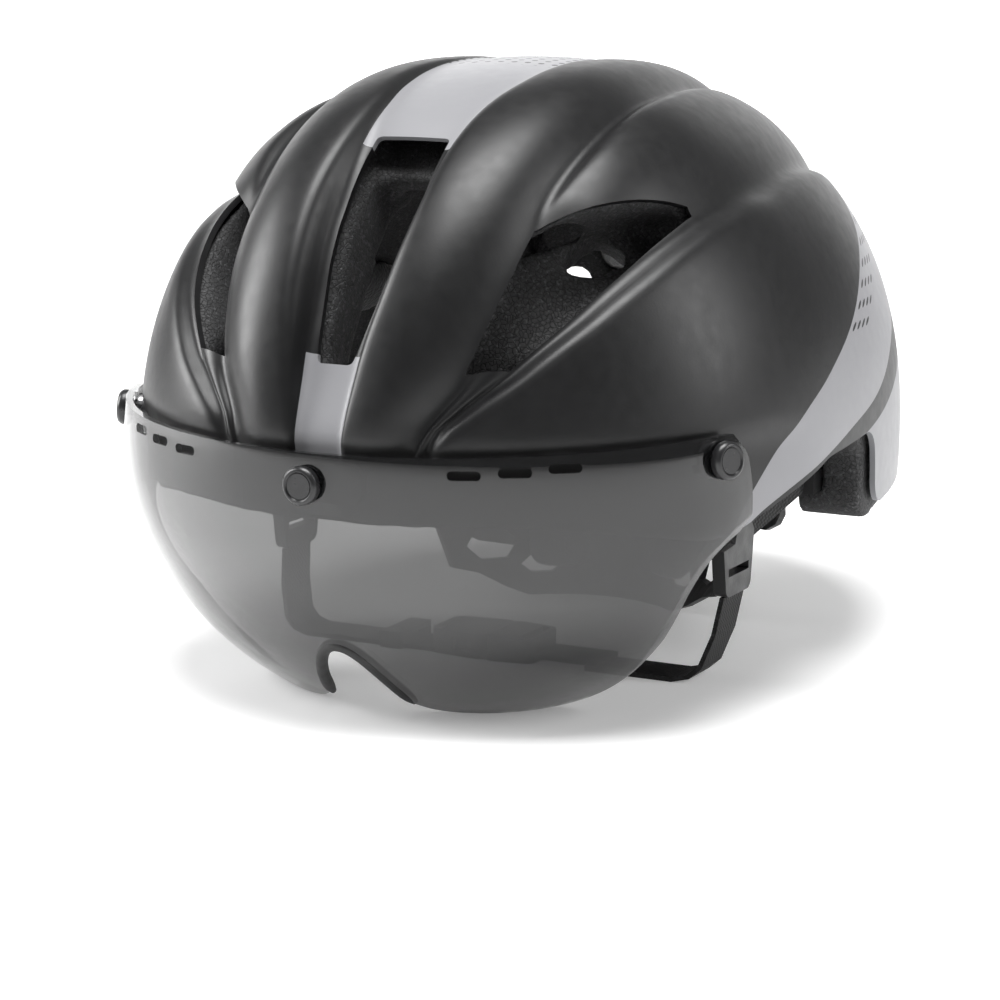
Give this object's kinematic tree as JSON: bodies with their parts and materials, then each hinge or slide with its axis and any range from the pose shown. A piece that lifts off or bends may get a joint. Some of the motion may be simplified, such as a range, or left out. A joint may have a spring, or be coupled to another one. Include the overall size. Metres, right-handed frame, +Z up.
{
  "type": "aero time trial helmet",
  "caption": "Short-tail time trial helmet with ribbed vented shell, clip-on smoke visor, dial fit system and buckled chin strap.",
  "frame": {"origin": "centre of the footprint box at the level the helmet stands on, with the visor on", "axes": "-Y is the front, +X is the wearer's left, +Z is up; the helmet stands as put down on a table"},
  "size_m": [0.2086, 0.2851, 0.1775],
  "materials": {
    "shell_black": "matte black satin polycarbonate skin with light grey panels",
    "foam_black": "black moulded bead foam",
    "nylon_black": "fine grained moulded nylon",
    "pad_fabric": "brushed knit over soft foam",
    "smoke_lens": "smoke polycarbonate, glossy",
    "rubber_black": "soft matte rubber",
    "button_black": "satin cap with a bevelled edge",
    "magnet_steel": "nickel plated",
    "knob_black": "ribbed rubber over nylon",
    "webbing_black": "woven polyester webbing"
  },
  "bodies": {
    "helmet": {"outer_shell": "shell_black", "foam_liner": "foam_black", "strap_anchors": "nylon_black", "brow_pad": "pad_fabric", "crown_pad": "pad_fabric", "side_pad_left": "pad_fabric", "side_pad_right": "pad_fabric", "front_magnet_bracket": "magnet_steel", "magnet_seat_left": "magnet_steel", "magnet_seat_right": "magnet_steel", "temple_anchor_left": "nylon_black", "temple_anchor_right": "nylon_black", "front_strap_left": "webbing_black", "front_strap_right": "webbing_black", "rear_strap_left": "webbing_black", "rear_strap_right": "webbing_black", "strap_divider_left": "nylon_black", "strap_divider_right": "nylon_black", "chin_strap_left": "webbing_black", "chin_strap_right": "webbing_black", "buckle_female": "nylon_black", "strap_keeper": "rubber_black"},
    "visor": {"visor_lens": "smoke_lens", "nose_trim": "rubber_black", "visor_button_center": "button_black", "visor_button_left": "button_black", "visor_button_right": "button_black", "visor_magnets": "magnet_steel"},
    "arm_left": {"temple_arm_left": "nylon_black"},
    "arm_right": {"temple_arm_right": "nylon_black"},
    "cradle": {"cradle_frame": "nylon_black", "dial_housing": "nylon_black", "occipital_pad_left": "pad_fabric", "occipital_pad_right": "pad_fabric"},
    "knob": {"dial_knob": "knob_black", "pinion": "nylon_black", "knob_screw": "magnet_steel"},
    "buckle_plug": {"buckle_male": "nylon_black", "webbing_tail": "webbing_black"}
  },
  "joints": [
    {"name": "visor_pull", "type": "slide", "parent": "helmet", "child": "visor", "axis": [0, -1, 0], "range_m": [0, 0.06]},
    {"name": "arm_left_hinge", "type": "hinge", "parent": "helmet", "child": "arm_left", "pos_m": [0.074, -0.044, 0.066], "axis": [0, 0, 1], "range_deg": [-3.95, 3.95]},
    {"name": "arm_right_hinge", "type": "hinge", "parent": "helmet", "child": "arm_right", "pos_m": [-0.074, -0.044, 0.066], "axis": [0, 0, -1], "range_deg": [-3.95, 3.95]},
    {"name": "cradle_slide", "type": "slide", "parent": "helmet", "child": "cradle", "axis": [0, -1, 0], "range_m": [-0.00504, 0.00504]},
    {"name": "dial_turn", "type": "hinge", "parent": "cradle", "child": "knob", "pos_m": [0, 0.095, 0.022], "axis": [0, 1, 0], "range_deg": [-125, 125]},
    {"name": "buckle_release", "type": "slide", "parent": "helmet", "child": "buckle_plug", "axis": [1, 0, 0], "range_m": [0, 0.016]}
  ],
  "couplings": [
    {"joint": "arm_left_hinge", "follows": "cradle_slide", "rad_per_m": 13.514},
    {"joint": "arm_right_hinge", "follows": "cradle_slide", "rad_per_m": 13.514},
    {"joint": "dial_turn", "follows": "cradle_slide", "rad_per_m": 432.43}
  ]
}
